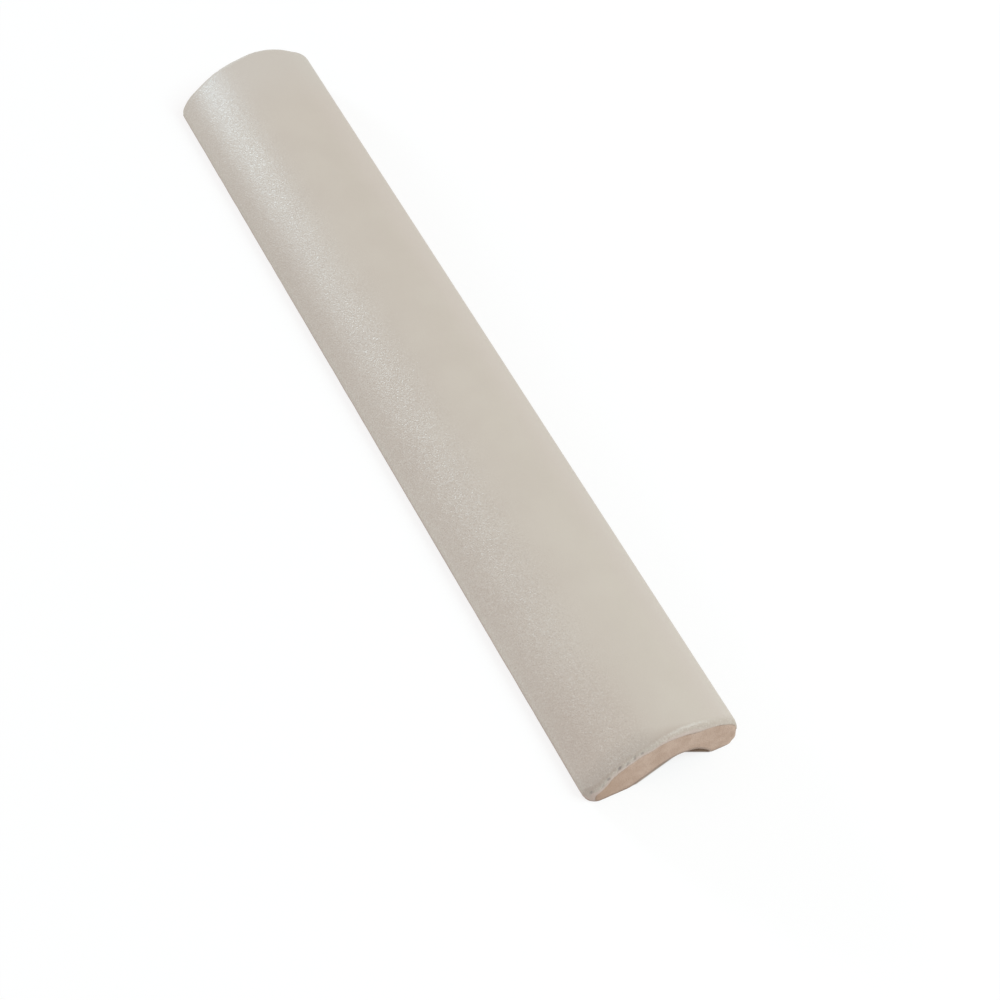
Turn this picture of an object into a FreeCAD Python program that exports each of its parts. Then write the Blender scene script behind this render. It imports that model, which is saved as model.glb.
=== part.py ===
"""Bullnose trim tile, pressed, glazed and fired as one piece of clay.

The tile is a bar of constant section. Its crowned top starts at a low nose wall, rises to the crown
line and falls to the shoulder of a higher back wall. A hollow is pressed along its bed, between two
feet. Each end is cut square, and a round runs along its top edge and down both walls.

The frame: X along the bar, +Y towards the nose, +Z up. The origin is in the middle of the bed.
Lengths are in millimetres.
"""
import FreeCAD, Part
import math
import os
import Sketcher

NODE = "bullnose_tile"

# Driving dimensions: the name, the size and what it measures
SIZES = (
    ("bar_length", 200.0, "end to end"),
    ("bar_width", 31.2, "nose wall to back wall"),
    ("crown_height", 12.4, "bed to crown line"),
    ("crown_setback", 17.4, "nose wall to crown line"),
    ("nose_height", 2.5, "bed to where the crown curve meets the nose wall"),
    ("back_height", 7.0, "bed to where the crown curve meets the back wall"),
    ("nose_radius", 3.0, "round between nose wall and crown"),
    ("shoulder_radius", 5.8, "round between crown and back wall"),
    ("end_radius", 1.5, "round along the top edge of each end"),
    ("toe_radius", 0.7, "round between nose wall and bed"),
    ("heel_radius", 1.8, "round between back wall and bed"),
    ("nose_foot", 8.6, "width of the foot under the nose"),
    ("back_foot", 5.6, "width of the foot under the back wall"),
    ("ramp_run", 6.6, "how far the hollow's ramp reaches in from the nose foot"),
    ("ramp_rise", 3.5, "how high the hollow's ramp climbs"),
)

doc = FreeCAD.newDocument("BullnoseTile")

sheet = doc.addObject("Spreadsheet::Sheet", "Sizes")
for row, (alias, value, meaning) in enumerate(SIZES, start=1):
    sheet.set(f"A{row}", meaning)
    sheet.set(f"B{row}", str(value))
    sheet.setAlias(f"B{row}", alias)
doc.recompute()

body = doc.addObject("PartDesign::Body", "Tile")
body.Label = NODE


def size(alias):
    """A driving dimension, as the sheet holds it."""
    return float(sheet.get(alias))


# Where the main lines of the section lie
nose_side = size("bar_width") / 2
back_side = -nose_side
crown_line = nose_side - size("crown_setback")

# Sketcher's numbers for a curve's start, end and centre, and for the sketch's horizontal axis
START = 1
END = 2
CENTRE = 3
BED_LINE = -1
ORIGIN = (BED_LINE, START)


def new_sketch(name):
    """An empty sketch across the bar: its first axis is Y and its second is Z."""
    section_plane = [plane for plane in body.Origin.OriginFeatures if plane.Role == "YZ_Plane"][0]
    sketch = body.newObject("Sketcher::SketchObject", name)
    sketch.AttachmentSupport = [(section_plane, "")]
    sketch.MapMode = "FlatFace"
    return sketch


def point(across, up):
    """A point of a sketch."""
    return FreeCAD.Vector(across, up, 0)


def arc_about(centre, first, last):
    """The arc about a centre that runs counter-clockwise from the first point to the last."""
    out = first - centre
    back = last - centre
    circle = Part.Circle(centre, FreeCAD.Vector(0, 0, 1), out.Length)
    return Part.ArcOfCircle(circle, math.atan2(out.y, out.x), math.atan2(back.y, back.x))


def centre_of_turn(first, heading, last):
    """The centre of the arc that leaves the first point along a heading and ends at the last."""
    chord = last - first
    inward = point(-heading.y, heading.x).normalize()
    return first + inward * (chord.dot(chord) / (2 * chord.dot(inward)))


def constrain(sketch, kind, *places):
    """A geometric constraint of the sketch."""
    return sketch.addConstraint(Sketcher.Constraint(kind, *places))


def bind(sketch, alias, kind, *places):
    """A dimension of the sketch that takes its value from the sheet."""
    index = constrain(sketch, kind, *places, size(alias))
    sketch.renameConstraint(index, alias)
    sketch.setExpression(f"Constraints.{alias}", f"Sizes.{alias}")


def draw_section():
    """The bar's outline, with its outer corners still sharp."""
    toe = point(nose_side, 0)
    nose_top = point(nose_side, size("nose_height"))
    crown = point(crown_line, size("crown_height"))
    back_top = point(back_side, size("back_height"))
    heel = point(back_side, 0)
    back_foot_edge = point(back_side + size("back_foot"), 0)
    nose_foot_edge = point(nose_side - size("nose_foot"), 0)
    ramp_climb = point(-size("ramp_run"), size("ramp_rise"))
    ramp_top = nose_foot_edge + ramp_climb

    towards_back = point(-1, 0)
    nose_slope_centre = centre_of_turn(crown, towards_back, nose_top)
    back_slope_centre = centre_of_turn(crown, towards_back, back_top)
    roof_centre = centre_of_turn(ramp_top, ramp_climb, back_foot_edge)

    sketch = new_sketch("Section")
    nose_wall = sketch.addGeometry(Part.LineSegment(toe, nose_top))
    nose_slope = sketch.addGeometry(arc_about(nose_slope_centre, nose_top, crown))
    back_slope = sketch.addGeometry(arc_about(back_slope_centre, crown, back_top))
    back_wall = sketch.addGeometry(Part.LineSegment(back_top, heel))
    back_bed = sketch.addGeometry(Part.LineSegment(heel, back_foot_edge))
    roof = sketch.addGeometry(arc_about(roof_centre, ramp_top, back_foot_edge))
    ramp = sketch.addGeometry(Part.LineSegment(nose_foot_edge, ramp_top))
    nose_bed = sketch.addGeometry(Part.LineSegment(nose_foot_edge, toe))

    constrain(sketch, "Coincident", nose_wall, END, nose_slope, START)
    constrain(sketch, "Coincident", nose_slope, END, back_slope, START)
    constrain(sketch, "Coincident", back_slope, END, back_wall, START)
    constrain(sketch, "Coincident", back_wall, END, back_bed, START)
    constrain(sketch, "Coincident", back_bed, END, roof, END)
    constrain(sketch, "Tangent", roof, START, ramp, END)
    constrain(sketch, "Coincident", ramp, START, nose_bed, START)
    constrain(sketch, "Coincident", nose_bed, END, nose_wall, START)

    # Upright walls and level feet, with the origin midway between the walls
    constrain(sketch, "Vertical", nose_wall)
    constrain(sketch, "Vertical", back_wall)
    constrain(sketch, "Horizontal", nose_bed)
    constrain(sketch, "Horizontal", back_bed)
    constrain(sketch, "Symmetric", nose_wall, START, back_wall, END, *ORIGIN)
    constrain(sketch, "PointOnObject", nose_wall, START, BED_LINE)

    # Both slopes are level where they meet, so their centres lie under the crown line
    constrain(sketch, "Vertical", nose_slope, CENTRE, nose_slope, END)
    constrain(sketch, "Vertical", back_slope, CENTRE, back_slope, START)

    bind(sketch, "bar_width", "DistanceX", back_wall, END, nose_wall, START)
    bind(sketch, "nose_height", "DistanceY", nose_wall, START, nose_wall, END)
    bind(sketch, "back_height", "DistanceY", back_wall, END, back_wall, START)
    bind(sketch, "crown_setback", "DistanceX", nose_slope, END, nose_wall, START)
    bind(sketch, "crown_height", "DistanceY", nose_wall, START, nose_slope, END)
    bind(sketch, "nose_foot", "DistanceX", nose_bed, START, nose_bed, END)
    bind(sketch, "back_foot", "DistanceX", back_bed, START, back_bed, END)
    bind(sketch, "ramp_run", "DistanceX", ramp, END, ramp, START)
    bind(sketch, "ramp_rise", "DistanceY", ramp, START, ramp, END)
    return sketch


def draw_bed_rounds():
    """What the rounds take off the sharp lower corners: one spandrel at the toe and one at the heel."""
    toe_radius = size("toe_radius")
    heel_radius = size("heel_radius")
    toe = point(nose_side, 0)
    toe_wall_end = point(nose_side, toe_radius)
    toe_bed_end = point(nose_side - toe_radius, 0)
    toe_centre = point(nose_side - toe_radius, toe_radius)
    heel = point(back_side, 0)
    heel_wall_end = point(back_side, heel_radius)
    heel_bed_end = point(back_side + heel_radius, 0)
    heel_centre = point(back_side + heel_radius, heel_radius)

    sketch = new_sketch("BedRoundsOutline")
    toe_wall = sketch.addGeometry(Part.LineSegment(toe, toe_wall_end))
    toe_bed = sketch.addGeometry(Part.LineSegment(toe, toe_bed_end))
    toe_round = sketch.addGeometry(arc_about(toe_centre, toe_bed_end, toe_wall_end))
    heel_wall = sketch.addGeometry(Part.LineSegment(heel, heel_wall_end))
    heel_bed = sketch.addGeometry(Part.LineSegment(heel, heel_bed_end))
    heel_round = sketch.addGeometry(arc_about(heel_centre, heel_wall_end, heel_bed_end))

    for wall, bed in ((toe_wall, toe_bed), (heel_wall, heel_bed)):
        constrain(sketch, "Coincident", wall, START, bed, START)
        constrain(sketch, "Vertical", wall)
        constrain(sketch, "Horizontal", bed)
    constrain(sketch, "Tangent", toe_bed, END, toe_round, START)
    constrain(sketch, "Tangent", toe_round, END, toe_wall, END)
    constrain(sketch, "Tangent", heel_wall, END, heel_round, START)
    constrain(sketch, "Tangent", heel_round, END, heel_bed, END)
    constrain(sketch, "Symmetric", toe_wall, START, heel_wall, START, *ORIGIN)
    constrain(sketch, "PointOnObject", toe_wall, START, BED_LINE)

    bind(sketch, "bar_width", "DistanceX", heel_wall, START, toe_wall, START)
    bind(sketch, "toe_radius", "Radius", toe_round)
    bind(sketch, "heel_radius", "Radius", heel_round)
    return sketch


def round_edges(name, alias, edges):
    """A fillet on named edges of the tile as it stands."""
    base = body.Tip
    fillet = body.newObject("PartDesign::Fillet", name)
    fillet.Base = (base, edges)
    fillet.setExpression("Radius", f"Sizes.{alias}")
    doc.recompute()


def edges_through(place, along_bar):
    """The names of the edges that pass through a place: those along the bar, or those across it."""
    touch = 0.001
    spot = Part.Vertex(place)
    names = []
    for number, edge in enumerate(body.Tip.Shape.Edges, start=1):
        runs_along = edge.BoundBox.XLength > touch
        if runs_along == along_bar and edge.distToShape(spot)[0] < touch:
            names.append(f"Edge{number}")
    return names


# The bar, as it is pressed
bar = body.newObject("PartDesign::Pad", "Bar")
bar.Profile = draw_section()
bar.SideType = "Symmetric"
bar.setExpression("Length", "Sizes.bar_length")
doc.recompute()

# The long rounds of the glazed face
nose_edge = FreeCAD.Vector(0, nose_side, size("nose_height"))
round_edges("NoseRound", "nose_radius", edges_through(nose_edge, along_bar=True))
shoulder_edge = FreeCAD.Vector(0, back_side, size("back_height"))
round_edges("ShoulderRound", "shoulder_radius", edges_through(shoulder_edge, along_bar=True))

# The round at each end starts from the crown and runs on along the tangent edges, down both walls
end_edges = []
for end_x in (-size("bar_length") / 2, size("bar_length") / 2):
    crown_end = FreeCAD.Vector(end_x, crown_line, size("crown_height"))
    end_edges += edges_through(crown_end, along_bar=False)
round_edges("EndRounds", "end_radius", end_edges)

# The rounds of the bed come last and stop at the square ends
volume_before = body.Tip.Shape.Volume
bed_rounds = body.newObject("PartDesign::Pocket", "BedRounds")
bed_rounds.Profile = draw_bed_rounds()
bed_rounds.SideType = "Symmetric"
bed_rounds.Type = "ThroughAll"
doc.recompute()

for feature in doc.Objects:
    if "Invalid" in feature.State or "Error" in feature.State:
        raise RuntimeError(f"{feature.Name} failed: {feature.State}")
if body.Shape.isNull() or not body.Shape.isValid() or len(body.Shape.Solids) != 1:
    raise RuntimeError(f"{NODE} isn't one valid solid")
if body.Shape.Volume >= volume_before:
    raise RuntimeError("The rounds of the bed cut nothing")

os.makedirs("parts", exist_ok=True)
body.Shape.exportStep(f"parts/{body.Label}.step")
box = body.Shape.optimalBoundingBox()
print(f"{NODE}: {box.XLength:.2f} x {box.YLength:.2f} x {box.ZLength:.2f} mm, {body.Shape.Volume:.0f} mm3")
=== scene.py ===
import math
from collections import namedtuple

import bpy
from mathutils import Matrix, Vector


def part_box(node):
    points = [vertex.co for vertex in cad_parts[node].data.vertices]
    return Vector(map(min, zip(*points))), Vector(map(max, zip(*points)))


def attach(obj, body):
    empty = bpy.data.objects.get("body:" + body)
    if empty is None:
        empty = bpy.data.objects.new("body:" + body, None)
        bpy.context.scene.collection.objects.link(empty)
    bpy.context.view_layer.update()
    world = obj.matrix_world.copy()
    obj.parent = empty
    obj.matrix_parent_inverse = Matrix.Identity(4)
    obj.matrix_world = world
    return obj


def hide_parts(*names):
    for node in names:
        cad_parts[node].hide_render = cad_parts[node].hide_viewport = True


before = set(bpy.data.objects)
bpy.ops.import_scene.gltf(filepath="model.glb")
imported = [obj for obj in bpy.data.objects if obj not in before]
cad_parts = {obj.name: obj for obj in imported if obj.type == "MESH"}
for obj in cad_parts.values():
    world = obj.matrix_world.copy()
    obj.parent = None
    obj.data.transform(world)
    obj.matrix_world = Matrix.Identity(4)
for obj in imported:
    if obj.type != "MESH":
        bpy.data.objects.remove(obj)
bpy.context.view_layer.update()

# The tile is one bar of pale clay, pressed in a die with a hollow along its bed. A satin glaze is sprayed
# over its crowned face and its nose, and fused on in the kiln. It turns over the ends and the shoulder and
# stops there, so the ends, the foot of the back wall, the bed and the hollow stay bare clay.

MM = 0.001
tile_low, tile_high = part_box("bullnose_tile")
bar_length = tile_high.x - tile_low.x
half_width = tile_high.y
crown_height = tile_high.z
crown_setback = 17.4 * MM
nose_height = 2.5 * MM
back_height = 7.0 * MM
nose_radius = 3.0 * MM
shoulder_radius = 5.8 * MM
toe_radius = 0.7 * MM
heel_radius = 1.8 * MM
nose_foot = 8.6 * MM
back_foot = 5.6 * MM
ramp_run = 6.6 * MM
ramp_rise = 3.5 * MM
foot_edge_wear = 0.5 * MM
crown_line = half_width - crown_setback
nose_foot_edge = half_width - nose_foot
back_foot_edge = -half_width + back_foot


def arc(centre, radius, first_degrees, last_degrees):
    """Points of the section along an arc, with one at each end."""
    steps = 80
    points = []
    for step in range(steps + 1):
        turn = math.radians(first_degrees + (last_degrees - first_degrees) * step / steps)
        points.append(centre + Vector((math.cos(turn), math.sin(turn))) * radius)
    return points


def heading(start, end):
    """The direction from one point of the section to another, in degrees from +Y towards +Z."""
    return math.degrees(math.atan2(end.y - start.y, end.x - start.x))


def slope_centre(wall_top):
    """The centre of the arc that is level at the crown line and would meet a wall at its top."""
    crown = Vector((crown_line, crown_height))
    drop = crown - wall_top
    return crown - Vector((0, drop.length_squared / (2 * drop.y)))


def round_centre(slope, wall_side, radius):
    """The centre of the round that touches a wall and the inside of a slope's arc."""
    across = wall_side * (half_width - radius)
    reach = crown_height - slope.y - radius
    return Vector((across, slope.y + math.sqrt(reach ** 2 - (across - slope.x) ** 2)))


nose_slope = slope_centre(Vector((half_width, nose_height)))
back_slope = slope_centre(Vector((-half_width, back_height)))
nose = round_centre(nose_slope, 1, nose_radius)
shoulder = round_centre(back_slope, -1, shoulder_radius)


def face_outline():
    """The section's outside: from the bed at the toe, up the nose, over the crown and down to the heel."""
    toe = Vector((half_width - toe_radius, toe_radius))
    heel = Vector((-half_width + heel_radius, heel_radius))
    nose_turn = heading(nose_slope, nose)
    shoulder_turn = heading(back_slope, shoulder)
    outline = arc(toe, toe_radius, -90, 0)
    outline += arc(nose, nose_radius, 0, nose_turn)
    outline += arc(nose_slope, crown_height - nose_slope.y, nose_turn, 90)[1:]
    outline += arc(back_slope, crown_height - back_slope.y, 90, shoulder_turn)[1:]
    outline += arc(shoulder, shoulder_radius, shoulder_turn, 180)[1:]
    outline += arc(heel, heel_radius, 180, 270)
    return outline


def worn_corner(corner, to_last, to_next):
    """A corner of the outline, eased to a small curve between the two lines that meet there."""
    first = corner + to_last * foot_edge_wear
    last = corner + to_next * foot_edge_wear
    steps = 6
    curve = []
    for step in range(steps + 1):
        share = step / steps
        curve.append(first.lerp(corner, share).lerp(corner.lerp(last, share), share))
    return curve


def bed_outline():
    """The section's underside, from the toe to the heel: foot, ramp, arched roof and foot."""
    ramp_foot = Vector((nose_foot_edge, 0))
    ramp_top = ramp_foot + Vector((-ramp_run, ramp_rise))
    roof_foot = Vector((back_foot_edge, 0))
    up_ramp = (ramp_top - ramp_foot).normalized()
    towards_centre = Vector((-up_ramp.y, up_ramp.x))
    chord = roof_foot - ramp_top
    roof_radius = chord.length_squared / (2 * chord.dot(towards_centre))
    roof = ramp_top + towards_centre * roof_radius
    roof_curve = arc(roof, roof_radius, heading(roof, ramp_top), heading(roof, roof_foot))
    up_roof = (roof_curve[-2] - roof_foot).normalized()
    outline = [Vector((half_width - toe_radius, 0))]
    outline += worn_corner(ramp_foot, Vector((1, 0)), up_ramp)
    outline += [place for place in roof_curve if (place - roof_foot).length > foot_edge_wear]
    outline += worn_corner(roof_foot, up_roof, Vector((-1, 0)))
    outline.append(Vector((-half_width + heel_radius, 0)))
    return outline


def outline_object(name, outline):
    """A helper curve in the plane across the bar, which the sweep reads and which is then deleted."""
    curve = bpy.data.curves.new(name, "CURVE")
    curve.dimensions = "3D"
    spline = curve.splines.new("POLY")
    spline.points.add(len(outline) - 1)
    for spot, place in zip(spline.points, outline):
        spot.co = (0, place.x, place.y, 1)
    helper = bpy.data.objects.new(name, curve)
    bpy.context.scene.collection.objects.link(helper)
    return helper


class Field:
    """A number that a node tree works out at every point, written as plain arithmetic."""

    def __init__(self, socket):
        self.socket = socket
        self.tree = socket.id_data

    def __add__(self, other):
        return maths("ADD", self, other)

    def __radd__(self, other):
        return maths("ADD", other, self)

    def __sub__(self, other):
        return maths("SUBTRACT", self, other)

    def __rsub__(self, other):
        return maths("SUBTRACT", other, self)

    def __mul__(self, other):
        return maths("MULTIPLY", self, other)

    def __rmul__(self, other):
        return maths("MULTIPLY", other, self)

    def __truediv__(self, other):
        return maths("DIVIDE", self, other)

    def __pow__(self, other):
        return maths("POWER", self, other)

    def __lt__(self, other):
        return maths("LESS_THAN", self, other)

    def __gt__(self, other):
        return maths("GREATER_THAN", self, other)

    def __neg__(self):
        return maths("MULTIPLY", self, -1.0)


def plug(socket, value):
    """Joins a field to a node's input, or sets the input to a plain value."""
    if isinstance(value, Field):
        value = value.socket
    if isinstance(value, bpy.types.NodeSocket):
        socket.id_data.links.new(value, socket)
    else:
        socket.default_value = value


def add_node(tree, kind, inputs=None, **settings):
    """A node with its settings made and its inputs, given by name or number, filled in."""
    made = tree.nodes.new(kind)
    for setting, value in settings.items():
        setattr(made, setting, value)
    for name, value in (inputs or {}).items():
        plug(made.inputs[name], value)
    return made


def tree_of(terms):
    """The node tree that the fields among some terms belong to."""
    return next(term.tree for term in terms if isinstance(term, Field))


def maths(operation, *terms):
    """One step of arithmetic on fields and plain numbers."""
    step = add_node(tree_of(terms), "ShaderNodeMath", operation=operation)
    for socket, term in zip(step.inputs, terms):
        plug(socket, term)
    return Field(step.outputs["Value"])


def blend(first, second, share):
    """The first number where share is 0, the second where it is 1."""
    return first + (second - first) * share


def smooth_step(value, low, high):
    """0 below low, 1 above high and an even curve between them. It falls where low is the larger."""
    step = add_node(value.tree, "ShaderNodeMapRange", interpolation_type="SMOOTHSTEP")
    for socket, term in zip(step.inputs, (value, low, high, 0.0, 1.0)):
        plug(socket, term)
    return Field(step.outputs["Result"])


def band(value, low, high, soft):
    """1 from low to high, and 0 beyond a soft edge on each side."""
    return smooth_step(value, low - soft, low) * (1.0 - smooth_step(value, high, high + soft))


def components(vector_socket):
    """The three fields of a vector."""
    split = add_node(vector_socket.id_data, "ShaderNodeSeparateXYZ", {"Vector": vector_socket})
    return [Field(axis) for axis in split.outputs]


def vector(*axes):
    """A vector socket from three fields or plain numbers."""
    joined = add_node(tree_of(axes), "ShaderNodeCombineXYZ")
    for socket, axis in zip(joined.inputs, axes):
        plug(socket, axis)
    return joined.outputs["Vector"]


def noise(place, lump, detail=2.0, roughness=0.5):
    """Cloudy noise from 0 to 1, with lumps of about the given size in the units of place."""
    cloud = add_node(
        place.id_data,
        "ShaderNodeTexNoise",
        {"Vector": place, "Scale": 1 / lump, "Detail": detail, "Roughness": roughness},
    )
    return Field(cloud.outputs["Fac"])


# An edge of the section as the sweep uses it: where it lies, and the way that the ends draw it in
Rail = namedtuple("Rail", "across up draw_across draw_up")


def store(tree, mesh, name, value):
    """Stores a field on a mesh's points under a name."""
    stored = add_node(
        tree,
        "GeometryNodeStoreNamedAttribute",
        {"Geometry": mesh, "Name": name, "Value": value},
        data_type="FLOAT",
        domain="POINT",
    )
    return stored.outputs["Geometry"]


def read(tree, name):
    """Reads a field that was stored under a name."""
    reading = add_node(tree, "GeometryNodeInputNamedAttribute", {"Name": name}, data_type="FLOAT")
    return Field(reading.outputs["Attribute"])


def closed_bar(tree, given, place):
    """The section swept along the bar, turned over a round at each end and closed there.

    The bar is four sheets that share their edges: the face, the bed and the two ends. Each is a grid that
    starts as a unit square, with its columns along X, from toe to heel, and its rows along Y.
    """
    half_length = Field(given["Bar length"]) * 0.5
    least_radius = Field(given["Arris radius"])
    grid_x, grid_y, _ = components(place)
    from_toe = grid_x + 0.5
    from_heel = 1.0 - from_toe
    from_first_row = grid_y + 0.5

    def outline_reading(outline):
        """Where a column lies on an outline, and the outline's normal there, out of the clay's face."""
        source = add_node(tree, "GeometryNodeObjectInfo", {"Object": given[outline]})
        reading = add_node(
            tree,
            "GeometryNodeSampleCurve",
            {"Curves": source.outputs["Geometry"], "Factor": from_toe},
            mode="FACTOR",
        )
        _, across, up = components(reading.outputs["Position"])
        _, run_across, run_up = components(reading.outputs["Tangent"])
        return across, up, run_up, -run_across

    def unit(across, up):
        """The direction of a line across the bar, as a line 1 long."""
        length = maths("SQRT", across ** 2.0 + up ** 2.0)
        return across / length, up / length

    _, nose_across, nose_up = components(given["Nose centre"])
    _, shoulder_across, shoulder_up = components(given["Shoulder centre"])

    # The face is drawn in along its own normal, and its walls, where that normal hardly rises, towards the
    # centre of the round above them
    wall_rise = 0.2
    across, up, out_across, out_up = outline_reading("Face outline")
    on_nose = across > 0.0
    on_wall = out_up < wall_rise
    to_across, to_up = unit(
        blend(shoulder_across, nose_across, on_nose) - across, blend(shoulder_up, nose_up, on_nose) - up
    )
    face = Rail(across, up, blend(-out_across, to_across, on_wall), blend(-out_up, to_up, on_wall))

    # The bed is drawn in straight up, and towards the same two centres under the walls
    across, up, _, _ = outline_reading("Bed outline")
    over_bed = maths("MINIMUM", maths("MAXIMUM", across, shoulder_across), nose_across)
    bed = Rail(across, up, *unit(over_bed - across, blend(shoulder_up, nose_up, across > 0.0)))

    # The round of the face and the arris of the bed meet at the feet of the walls, and the edge up the back
    # wall opens out more slowly than the one up the nose
    up_back_wall = smooth_step(from_heel, 0.0, 0.06) * 0.55 + smooth_step(from_heel, 0.08, 0.16) * 0.45
    above_foot = smooth_step(from_toe, 0.0, 0.08) * up_back_wall

    def end_spot(side, edge):
        """A place for the noise along an edge of an end, in millimetres round the outline."""
        outline_run = 46.0
        ends_apart = 7.0
        return vector(from_toe * outline_run, side * ends_apart, edge)

    def round_radius(side):
        """The radius of an end's round, which is uneven on its way from toe to heel.

        The near end's is tight down the nose slope. The far end's is tight at the nose and on the crown,
        and loosest at the shoulder.
        """
        unevenness = 0.3 * MM
        looseness = 0.7 * MM
        near = (1.0 - side) * 0.5
        tight_near = 1.0 - smooth_step(from_toe, 0.36, 0.56)
        tight_far = band(from_toe, 0.55, 0.58, 0.12) + (1.0 - smooth_step(from_toe, 0.10, 0.22))
        tight = blend(tight_far, tight_near, near)
        plain = blend(Field(given["End radius"]), Field(given["Tight end radius"]), tight)
        loose = band(from_toe, 0.75, 0.84, 0.08) * (1.0 - near) * looseness
        uneven = (noise(end_spot(side, 0.0), 5.0) - 0.5) * unevenness
        return blend(least_radius, plain + loose + uneven, above_foot)

    def arris_radius(side):
        """The radius of the bed's edge at an end, a little larger where it is rubbed."""
        most_rubbed = 0.2 * MM
        rubbed = smooth_step(noise(end_spot(side, 30.0), 6.0, detail=0.0), 0.45, 0.8) * most_rubbed
        return rubbed * above_foot + least_radius

    def worn(along, across, up):
        """Where a point lies along the bar once its corners are worn back, most at the nose's near one."""
        wear_width = Field(given["Worn corner width"])
        wear_reach = 9.0 * MM
        past_start = maths("ABSOLUTE", across) - (half_width - wear_width)
        in_corner = maths("MAXIMUM", past_start, 0.0) / wear_width
        at_near_end = 1.0 - smooth_step(along + half_length, 0.0, wear_reach)
        at_far_end = 1.0 - smooth_step(half_length - along, 0.0, wear_reach)
        at_heel = (1.0 - smooth_step(up, 0.2 * MM, 1.6 * MM)) * 0.25
        share = (at_near_end - at_far_end * 0.1) * blend(at_heel, 1.0, across > 0.0)
        return along + in_corner ** 2.0 * share * Field(given["Worn corner depth"])

    def sheet(rows, notes, along, across, up, flipped=False):
        """A grid with notes on its points, which are taken before the points move to their place."""
        position = vector(worn(along, across, up), across, up)
        mesh = add_node(
            tree,
            "GeometryNodeMeshGrid",
            {"Size X": 1.0, "Size Y": 1.0, "Vertices X": given["Columns"], "Vertices Y": rows},
        ).outputs["Mesh"]
        for name, value in notes.items():
            mesh = store(tree, mesh, name, value)
        mesh = add_node(
            tree, "GeometryNodeSetPosition", {"Geometry": mesh, "Position": position}
        ).outputs["Geometry"]
        if flipped:
            mesh = add_node(tree, "GeometryNodeFlipFaces", {"Mesh": mesh}).outputs["Mesh"]
        return mesh

    def long_sheet(rail, radius_of, skin, flipped=False):
        """A sheet along the whole bar. Its outer rows, closely spaced, turn over the round at each end."""
        share_on_round = 0.22
        clear_of_arris = 10.0 * MM
        row_place = from_first_row * 2.0 - 1.0
        side = maths("SIGN", row_place)
        from_end = 1.0 - maths("ABSOLUTE", row_place)
        radius = radius_of(side)
        turn = maths("MINIMUM", from_end / share_on_round, 1.0) * (math.pi / 2)
        past_round = maths("MAXIMUM", from_end - share_on_round, 0.0) / (1.0 - share_on_round)
        run = (half_length - radius) * past_round ** 2.0
        inset = radius - radius * maths("SINE", turn)
        along = side * (half_length - radius + radius * maths("COSINE", turn) - run)
        across = rail.across + rail.draw_across * inset
        up = rail.up + rail.draw_up * inset
        notes = {
            "below_face": radius - radius * turn - run,
            "above_arris": skin * clear_of_arris,
            "skin": skin,
            "out_along": side * maths("COSINE", turn),
            "out_across": -rail.draw_across * maths("SINE", turn),
            "out_up": -rail.draw_up * maths("SINE", turn),
        }
        return sheet(given["Rows"], notes, along, across, up, flipped)

    def end_sheet(side, flipped=False):
        """The flat clay between the foot of an end's round and the arris of the bed."""
        row_crowding = 1.4
        top_radius = round_radius(side)
        low_radius = arris_radius(side)
        top_across = face.across + face.draw_across * top_radius
        top_up = face.up + face.draw_up * top_radius
        low_across = bed.across + bed.draw_across * low_radius
        low_up = bed.up + bed.draw_up * low_radius
        height = maths("SQRT", (top_across - low_across) ** 2.0 + (top_up - low_up) ** 2.0)
        down = from_first_row ** row_crowding
        across = blend(top_across, low_across, down)
        up = blend(top_up, low_up, down)
        notes = {
            "below_face": top_radius + height * down,
            "above_arris": height * (1.0 - down),
            "skin": 1.0,
            "out_along": side,
            "out_across": 0.0,
            "out_up": 0.0,
        }
        return sheet(given["End rows"], notes, half_length * side, across, up, flipped)

    seam_gap = 0.002 * MM
    joined = add_node(tree, "GeometryNodeJoinGeometry")
    for part in (
        long_sheet(face, round_radius, 1.0),
        long_sheet(bed, arris_radius, 0.0, flipped=True),
        end_sheet(-1.0, flipped=True),
        end_sheet(1.0),
    ):
        plug(joined.inputs["Geometry"], part)
    return add_node(
        tree,
        "GeometryNodeMergeByDistance",
        {"Geometry": joined.outputs["Geometry"], "Distance": seam_gap},
    ).outputs["Geometry"]


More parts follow.
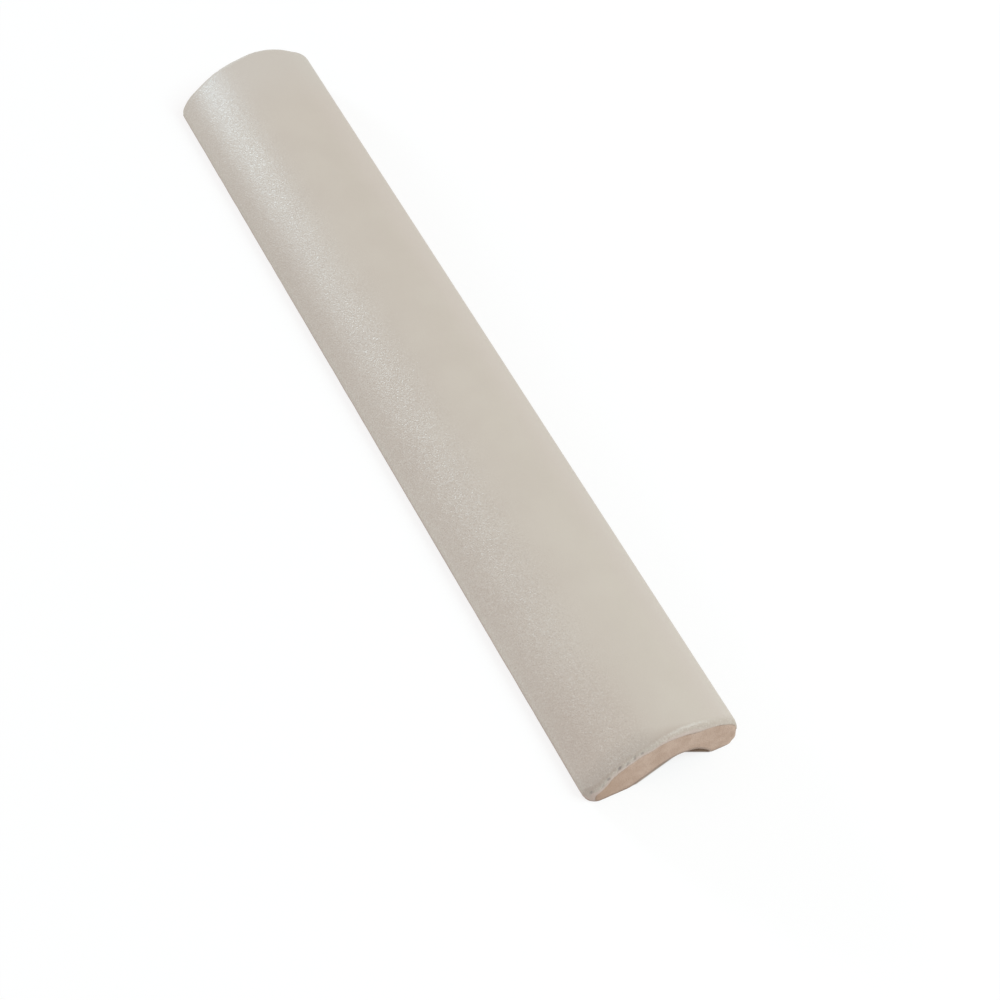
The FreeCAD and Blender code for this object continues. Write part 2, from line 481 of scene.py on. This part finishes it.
def sweep_tree(sizes):
    """The rule of the tile: the closed bar, with the glaze lying a little proud of the clay.

    The sizes are the tree's inputs, by name, each with its kind of socket.
    """
    tree = bpy.data.node_groups.new("tile sweep", "GeometryNodeTree")
    for name, (kind, _) in sizes.items():
        tree.interface.new_socket(name, in_out="INPUT", socket_type=kind)
    tree.interface.new_socket("Tile", in_out="OUTPUT", socket_type="NodeSocketGeometry")
    given = add_node(tree, "NodeGroupInput").outputs
    place = add_node(tree, "GeometryNodeInputPosition").outputs["Position"]
    bar = closed_bar(tree, given, place)
    along, across, up = components(place)
    spot = vector(along / MM, across / MM, up / MM + Field(given["Seed"]))
    skin = read(tree, "skin")

    # The glaze's edge wanders down the ends, hangs lower on the nose slope, and draws back round the corner
    # of the back wall. On the walls it ends along a wavering line above the bed.
    slow_wander = (noise(spot, 8.0, detail=1.0) - 0.5) * Field(given["Glaze wander"])
    quick_wander = (noise(spot, 1.2) - 0.5) * (0.5 * MM)
    on_nose_slope = smooth_step(across, -2.0 * MM, 4.0 * MM)
    at_back_wall = (1.0 - smooth_step(up, 3.8 * MM, 8.1 * MM)) * (across < 0.0)
    hang = on_nose_slope * Field(given["Glaze hang"]) - at_back_wall * Field(given["Glaze draw-back"])
    end_line = Field(given["End glaze line"]) + (slow_wander + quick_wander) + hang
    inside_end = end_line - read(tree, "below_face")
    wall_line = blend(Field(given["Back glaze line"]), Field(given["Nose glaze line"]), across > 0.0)
    inside_wall = up - wall_line - (noise(spot, 3.0) - 0.5) * (1.0 * MM)
    well_outside = -1.0 * MM
    inside_glaze = blend(well_outside, maths("MINIMUM", inside_end, inside_wall), skin)

    # A broken row of pits lies behind the glaze's lip on the nose slope, at uneven steps
    row_place = inside_end + (noise(spot, 1.1, detail=0.0) - 0.5) * (0.6 * MM)
    on_row = band(row_place, 0.9 * MM, 1.2 * MM, 0.3 * MM) * smooth_step(across, 3.0 * MM, 6.0 * MM)
    on_row = on_row * smooth_step(up, 2.0 * MM, 3.5 * MM)
    step_place = across / Field(given["Pit spacing"]) + (noise(spot, 2.6, detail=0.0) - 0.5) * 0.9
    on_step = smooth_step(maths("COSINE", step_place * (2 * math.pi)), 0.1, 0.8)
    pit = on_row * on_step * smooth_step(noise(spot, 1.6, detail=0.0), 0.0, 0.5)

    # The fired surface, as a depth below the die's shape: the glaze has a slow swell, a rounded lip at its
    # edge and the pits, and the clay has its grain and lies deeper by the glaze's thickness
    glaze = smooth_step(inside_glaze, -0.1 * MM, 0.15 * MM)
    off_lip = 1.0 - band(inside_glaze, 0.1 * MM, 0.4 * MM, 0.4 * MM)
    swell = noise(spot, 9.0) * (0.04 * MM)
    glaze_depth = swell + off_lip * Field(given["Lip height"]) + pit * Field(given["Pit depth"])
    fine_grain = noise(spot, 0.6, detail=4.0, roughness=0.6) * (0.07 * MM)
    coarse_grain = noise(spot, 4.0) * (0.06 * MM)
    off_arris = smooth_step(maths("MINIMUM", read(tree, "above_arris"), up), 0.0, 0.5 * MM)
    clay_depth = (fine_grain + coarse_grain) + off_arris * skin * Field(given["Glaze thickness"])
    depth = blend(clay_depth, glaze_depth, glaze)
    inward = vector(*(-depth * read(tree, name) for name in ("out_along", "out_across", "out_up")))
    mesh = store(tree, bar, "inside_glaze", inside_glaze)
    mesh = store(tree, mesh, "pit", pit)
    for kind, inputs in (
        ("GeometryNodeSetPosition", {"Offset": inward}),
        ("GeometryNodeSetShadeSmooth", {}),
        ("GeometryNodeRealizeInstances", {}),
        ("GeometryNodeSetMaterial", {"Material": given["Finish"]}),
    ):
        mesh = add_node(tree, kind, {"Geometry": mesh, **inputs}).outputs["Geometry"]
    add_node(tree, "NodeGroupOutput", {"Tile": mesh})
    return tree


# The colours of the glaze, and of what lies on it
greige = (0.545, 0.503, 0.430, 1.0)
cloudy_greige = (0.560, 0.520, 0.445, 1.0)
# Painted light: paler greige over the shoulder and by the far end
shoulder_lit_greige = (0.564, 0.514, 0.447, 1.0)
far_end_lit_greige = (0.562, 0.529, 0.464, 1.0)
# Painted shade: darker greige on the nose and towards the near end
nose_shade_greige = (0.480, 0.435, 0.365, 1.0)
near_end_shade_greige = (0.505, 0.450, 0.380, 1.0)
# Darker greige where the glaze drew thinly over the edges: partly thinner glaze, partly painted shade
thin_shaded_on_crown = (0.460, 0.405, 0.338, 1.0)
thin_shaded_on_slope = (0.455, 0.416, 0.354, 1.0)
light_fleck = (0.66, 0.62, 0.55, 1.0)
dark_fleck = (0.44, 0.40, 0.34, 1.0)
# Painted shade along the toe
toe_shade = (0.24, 0.21, 0.18, 1.0)
pinkish_edge = (0.515, 0.430, 0.375, 1.0)
pit_shadow = (0.200, 0.175, 0.160, 1.0)

# The colours of the clay
tan_clay = (0.450, 0.328, 0.248, 1.0)
pale_clay = (0.515, 0.390, 0.305, 1.0)
clay_grit = (0.42, 0.31, 0.23, 1.0)
# Darker clay towards the nose, and darker along the lower arris
nose_side_dark_clay = (0.40, 0.28, 0.20, 1.0)
lower_arris_dark = (0.22, 0.17, 0.14, 1.0)
lip_shadow = (0.24, 0.18, 0.15, 1.0)

satin_roughness = 0.40
clay_roughness = 0.95
glaze_ior = 1.65
crystal_size = 0.28


def mixed(first, second, share):
    """One colour where share is 0 and another where it is 1."""
    mix = add_node(share.tree, "ShaderNodeMix", data_type="RGBA")
    for name, value in (("Factor_Float", share), ("A_Color", first), ("B_Color", second)):
        plug(next(socket for socket in mix.inputs if socket.identifier == name), value)
    return next(socket for socket in mix.outputs if socket.identifier == "Result_Color")


def layered(colour, layers):
    """A colour with others laid over it in turn, each by its own share."""
    for layer, share in layers:
        colour = mixed(colour, layer, share)
    return colour


def glazed_clay():
    """The finish of the whole piece: satin glaze as far as the glaze reaches, and bare clay beyond.

    All its lengths are in millimetres.
    """
    material = bpy.data.materials.new("glazed clay")
    material.use_nodes = True
    tree = material.node_tree
    tree.nodes.clear()
    coordinates = add_node(tree, "ShaderNodeTexCoord").outputs["Object"]
    place = add_node(
        tree, "ShaderNodeMapping", {"Vector": coordinates, "Scale": (1 / MM, 1 / MM, 1 / MM)}
    ).outputs["Vector"]

    def stored(name):
        """A number stored on the mesh."""
        return Field(add_node(tree, "ShaderNodeAttribute", attribute_name=name).outputs["Fac"])

    def vector_step(operation, inputs):
        """One step of arithmetic on vectors."""
        return add_node(tree, "ShaderNodeVectorMath", inputs, operation=operation).outputs["Vector"]

    along, across, up = components(place)
    inside_glaze = stored("inside_glaze") / MM
    below_face = stored("below_face") / MM
    glaze = smooth_step(inside_glaze + (noise(place, 0.35, detail=3.0) - 0.5) * 0.35, -0.04, 0.10)
    over_edge = smooth_step(below_face, -0.8, 0.6)
    far_share = smooth_step(along, -40.0, 50.0)

    # The spray fell grainy on the nose slope and over the edges
    grainy = maths("MAXIMUM", smooth_step(across, 0.0, 6.0), over_edge)
    fleck = noise(place, 0.34, detail=2.0, roughness=0.6)
    grit = noise(place, 0.25, detail=2.0)

    def glaze_colour():
        """Greige, faintly clouded, and flecked where the spray fell grainy.

        It is painted paler over the shoulder and by the far end, as painted light, and darker on the nose
        and towards the near end, as painted shade. Where it drew thinly over the edges it is darker, partly
        from the thinner glaze and partly as painted shade. It is pinkish along its very edge, where the clay
        shows through.
        Along the toe it is darker, as painted shade, and the pits are dark.
        """
        cloud = smooth_step(noise(place, 9.0), 0.3, 0.7)
        # Painted light over the shoulder and by the far end
        painted_light_on_shoulder = smooth_step(across, -7.0, -13.0)
        painted_light_by_far_end = smooth_step(along, 75.0, 97.0) * (1.0 - smooth_step(across, 9.0, 13.0))
        # Painted shade on the nose towards the far end, and on the nose slope towards the near end
        on_nose = smooth_step(across, 11.5, 15.0) * far_share
        painted_shade_by_near_end = smooth_step(along, -70.0, -92.0) * smooth_step(across, 0.0, 6.0)
        # Darker over the edges: partly thinner glaze, partly painted shade
        thin_shade_from = blend(-1.0, -3.2, smooth_step(across, -6.0, 2.0)) - smooth_step(across, 0.0, 5.0) * 2.8
        thin_and_shaded = smooth_step(below_face, thin_shade_from, 0.3) * blend(1.0, 0.1, far_share)
        thin_shaded_greige = mixed(thin_shaded_on_crown, thin_shaded_on_slope, smooth_step(across, -2.0, 5.0))
        # Painted contact shade along the toe, broken up by noise
        painted_shade_by_toe = (1.0 - smooth_step(up, 0.6, 1.4)) * smooth_step(across, 0.0, 5.0)
        at_edge = band(inside_glaze, -0.2, 0.6, 0.45) * smooth_step(across, -13.0, -5.0)
        return layered(
            mixed(greige, cloudy_greige, cloud),
            (
                (shoulder_lit_greige, painted_light_on_shoulder),
                (far_end_lit_greige, painted_light_by_far_end),
                (nose_shade_greige, on_nose * 0.5),
                (near_end_shade_greige, painted_shade_by_near_end * 0.6),
                (thin_shaded_greige, thin_and_shaded),
                (light_fleck, smooth_step(fleck, 0.5, 0.8) * (grainy * 0.55 + 0.1)),
                (dark_fleck, smooth_step(fleck, 0.5, 0.2) * grainy * 0.5),
                (toe_shade, painted_shade_by_toe * smooth_step(noise(place, 22.0, detail=1.0), 0.25, 0.55) * 0.8),
                (pinkish_edge, at_edge * 0.85),
                (pit_shadow, stored("pit") * 0.8),
            ),
        )

    def clay_colour():
        """Pinkish tan, clouded over a few millimetres and gritty.

        It is darker towards the nose and along the lower arris, and dark here and there in the corner under
        the glaze's edge.
        """
        cloud = smooth_step(noise(place, 2.5, detail=3.0), 0.3, 0.7)
        near_arris = 1.0 - smooth_step(stored("above_arris") / MM, 0.1, 0.6)
        under_lip = band(inside_glaze, -0.20, -0.08, 0.12) * smooth_step(noise(place, 3.0), 0.40, 0.60)
        return layered(
            mixed(tan_clay, pale_clay, cloud),
            (
                (clay_grit, smooth_step(grit, 0.6, 0.8) * 0.5),
                (nose_side_dark_clay, smooth_step(across, 5.0, 13.0) * 0.75),
                (lower_arris_dark, near_arris * 0.6),
                (lip_shadow, under_lip * 0.5),
            ),
        )

    def roughness():
        """Dull clay and satin glaze.

        The satin dulls over the edges, most of all on the far end's round, and where it is seen at a
        glancing angle, so that a low window doesn't flare on it.
        """
        far_round = smooth_step(below_face, -1.2, -0.4) * smooth_step(along, 60.0, 90.0)
        facing_away = Field(add_node(tree, "ShaderNodeLayerWeight").outputs["Facing"])
        matt = maths("MAXIMUM", far_round * 0.45, smooth_step(facing_away, 0.45, 0.62) * 0.5)
        dull = over_edge * 0.10 + matt + (fleck - 0.5) * 0.1
        return blend(clay_roughness, dull + satin_roughness, glaze)

    def fine_relief():
        """The surface's normal over grit in the clay, and over ripples and small crystals in the glaze.

        Each crystal leans its own way, so that the glaze glitters where a window shines along it.
        """
        glaze_height = noise(place, 0.30, detail=2.0) * (grainy * blend(0.06, 0.035, far_share) + 0.03)
        clay_height = grit * 0.10 + noise(place, 0.9, detail=3.0) * 0.10
        crystals = add_node(tree, "ShaderNodeTexVoronoi", {"Vector": place, "Scale": 1 / crystal_size})
        steepness = grainy * blend(0.13, 0.032, far_share) + over_edge * (1.0 - far_share) * 0.14 + 0.03
        middle = (0.5, 0.5, 0.5)
        either_way = vector_step("SUBTRACT", {0: crystals.outputs["Color"], 1: middle})
        lean = vector_step("SCALE", {0: either_way, "Scale": glaze * steepness})
        surface = add_node(tree, "ShaderNodeNewGeometry").outputs["Normal"]
        leaning = vector_step("NORMALIZE", {0: vector_step("ADD", {0: surface, 1: lean})})
        height = blend(clay_height, glaze_height, glaze)
        bump = add_node(tree, "ShaderNodeBump", {"Distance": MM, "Height": height, "Normal": leaning})
        return bump.outputs["Normal"]

    shader = add_node(
        tree,
        "ShaderNodeBsdfPrincipled",
        {
            "Base Color": mixed(clay_colour(), glaze_colour(), glaze),
            "Roughness": roughness(),
            "Normal": fine_relief(),
            "IOR": glaze_ior,
        },
    )
    add_node(tree, "ShaderNodeOutputMaterial", {"Surface": shader.outputs["BSDF"]})
    return material


face_helper = outline_object("face outline", face_outline())
bed_helper = outline_object("bed outline", bed_outline())
tile_sizes = {
    "Face outline": ("NodeSocketObject", face_helper),
    "Bed outline": ("NodeSocketObject", bed_helper),
    "Nose centre": ("NodeSocketVector", (0.0, nose.x, nose.y)),
    "Shoulder centre": ("NodeSocketVector", (0.0, shoulder.x, shoulder.y)),
    "Bar length": ("NodeSocketFloat", bar_length),
    "End radius": ("NodeSocketFloat", 1.5 * MM),
    "Tight end radius": ("NodeSocketFloat", 0.9 * MM),
    "Worn corner width": ("NodeSocketFloat", 2.8 * MM),
    "Worn corner depth": ("NodeSocketFloat", 1.8 * MM),
    "Arris radius": ("NodeSocketFloat", 0.25 * MM),
    "Glaze thickness": ("NodeSocketFloat", 0.10 * MM),
    "Lip height": ("NodeSocketFloat", 0.05 * MM),
    "Pit depth": ("NodeSocketFloat", 0.16 * MM),
    "Pit spacing": ("NodeSocketFloat", 1.6 * MM),
    "End glaze line": ("NodeSocketFloat", 1.5 * MM),
    "Glaze wander": ("NodeSocketFloat", 3.2 * MM),
    "Glaze hang": ("NodeSocketFloat", 0.4 * MM),
    "Glaze draw-back": ("NodeSocketFloat", 1.8 * MM),
    "Nose glaze line": ("NodeSocketFloat", 0.3 * MM),
    "Back glaze line": ("NodeSocketFloat", 3.8 * MM),
    "Columns": ("NodeSocketInt", 210),
    "Rows": ("NodeSocketInt", 151),
    "End rows": ("NodeSocketInt", 46),
    "Seed": ("NodeSocketFloat", 232.0),
    "Finish": ("NodeSocketMaterial", glazed_clay()),
}
tile = bpy.data.objects.new("bullnose_tile_glazed", bpy.data.meshes.new("bullnose_tile_glazed"))
bpy.context.scene.collection.objects.link(tile)
sweep = tile.modifiers.new("tile sweep", "NODES")
sweep.node_group = sweep_tree(tile_sizes)
for item in sweep.node_group.interface.items_tree:
    if item.in_out == "INPUT":
        sweep[item.identifier] = tile_sizes[item.name][1]
swept = tile.evaluated_get(bpy.context.evaluated_depsgraph_get())
tile_mesh = bpy.data.meshes.new_from_object(swept)
tile.modifiers.remove(sweep)
tile.data = tile_mesh
for helper in (face_helper, bed_helper):
    bpy.data.objects.remove(helper)

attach(tile, "root")
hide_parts("bullnose_tile")

# The ground: a plain white sheet that the tile lies on. The camera sees it part lit and part plain white,
# so that it stays white and still takes the tile's soft shadow. Within the hollow it is painted with dark
# shade, past a line that slants in from each foot.

floor_reach = 4.0
plain_white_share = 0.8
paper_white = (0.95, 0.98, 0.965, 1.0)
# Painted shade on the ground within the hollow, by the back foot and up the ramp
shade_by_back_foot = (0.62, 0.54, 0.42, 1.0)
shade_up_ramp = (0.52, 0.41, 0.33, 1.0)
floor_mesh = bpy.data.meshes.new("floor")
floor_mesh.from_pydata(
    [(x * floor_reach, y * floor_reach, 0) for x, y in ((-1, -1), (1, -1), (1, 1), (-1, 1))],
    [],
    [(0, 1, 2, 3)],
)
floor = bpy.data.objects.new("floor", floor_mesh)
bpy.context.scene.collection.objects.link(floor)


def white_ground():
    """Matt white, with part of it shining plain white to the camera and to clear reflections."""
    material = bpy.data.materials.new("white ground")
    material.use_nodes = True
    tree = material.node_tree
    tree.nodes.clear()
    along, across, _ = components(add_node(tree, "ShaderNodeTexCoord").outputs["Object"])

    # The light reaches into the hollow as far as two slanting lines, one from each foot
    back_slant = 0.5
    nose_slant = 0.22
    least_lit_depth = 0.3 * MM
    into_hollow = bar_length / 2 - maths("ABSOLUTE", along)
    from_back_foot = across - back_foot_edge
    from_nose_foot = nose_foot_edge - across
    lit_by_back = from_back_foot * back_slant + 0.17 * MM
    lit_by_nose = from_nose_foot * nose_slant - 0.05 * MM
    lit_depth = maths("MAXIMUM", maths("MINIMUM", lit_by_back, lit_by_nose), least_lit_depth)
    within = band(across, back_foot_edge, nose_foot_edge, 0.2 * MM)
    clear = 1.0 - smooth_step(into_hollow - lit_depth, -0.15 * MM, 0.15 * MM) * within
    up_ramp = smooth_step(from_back_foot, 1.0 * MM, 4.0 * MM)
    paper_and_painted_shade = mixed(mixed(shade_by_back_foot, shade_up_ramp, up_ramp), paper_white, clear)

    rays = add_node(tree, "ShaderNodeLightPath").outputs
    seen = Field(rays["Is Camera Ray"]) + Field(rays["Is Glossy Ray"]) + Field(rays["Is Transmission Ray"])
    plain_share = maths("MINIMUM", seen, 1.0) * clear * plain_white_share
    lit = add_node(tree, "ShaderNodeBsdfDiffuse", {"Color": paper_and_painted_shade}).outputs["BSDF"]
    plain = add_node(
        tree, "ShaderNodeEmission", {"Color": (1.0, 1.0, 1.0, 1.0), "Strength": 1.0}
    ).outputs["Emission"]
    mix = add_node(tree, "ShaderNodeMixShader", {0: plain_share, 1: lit, 2: plain})
    add_node(tree, "ShaderNodeOutputMaterial", {"Surface": mix.outputs["Shader"]})
    return material


floor_mesh.materials.append(white_ground())

# The light: an even room, a broad soft lamp over the back wall's side, and a low cool window beyond the
# far end, whose glow lies along the nose slope and brings out the grain of the glaze there.

room_colour = (1.0, 0.836, 0.818, 1.0)
room_strength = 0.64
world = bpy.data.worlds.new("even room")
bpy.context.scene.world = world
world.use_nodes = True
room = world.node_tree.nodes["Background"]
room.inputs["Color"].default_value = room_colour
room.inputs["Strength"].default_value = room_strength


def area_lamp(name, direction, distance, side, radiance, colour):
    """A square lamp that faces the tile's middle, of a given brightness where 1 is white."""
    lamp = bpy.data.lights.new(name, "AREA")
    lamp.shape = "RECTANGLE"
    lamp.size = side
    lamp.size_y = side
    lamp.energy = 4 * side * side * radiance
    lamp.color = colour
    holder = bpy.data.objects.new(name, lamp)
    holder.location = Vector(direction).normalized() * distance
    holder.rotation_euler = Vector(direction).to_track_quat("Z", "Y").to_euler()
    bpy.context.scene.collection.objects.link(holder)


area_lamp(
    "soft lamp",
    direction=(-0.45, -0.50, 0.74),
    distance=1.4,
    side=0.6,
    radiance=8.3,
    colour=(0.777, 0.9645, 1.0),
)
area_lamp(
    "window",
    direction=(0.925, 0.337, 0.174),
    distance=1.5,
    side=0.3,
    radiance=40.5,
    colour=(0.70, 0.895, 1.0),
)

# The camera, where the tile was photographed from: above the near end, on the nose's side. Its lens is
# long, so the bar narrows only a little towards its far end.

lens_length = 82.535
sensor_width = 36.0
eye = Vector((-277.15, 119.01, 366.62)) * MM
aim = Vector((-30.48, -0.91, 0.0)) * MM
camera_roll = math.radians(-0.40)
camera_data = bpy.data.cameras.new("camera")
camera_data.sensor_width = sensor_width
camera_data.lens = lens_length
camera = bpy.data.objects.new("camera", camera_data)
turn = (aim - eye).to_track_quat("-Z", "Y").to_matrix() @ Matrix.Rotation(camera_roll, 3, "Z")
camera.matrix_world = Matrix.Translation(eye) @ turn.to_4x4()
bpy.context.scene.collection.objects.link(camera)
bpy.context.scene.camera = camera
bpy.context.scene.view_settings.view_transform = "Standard"
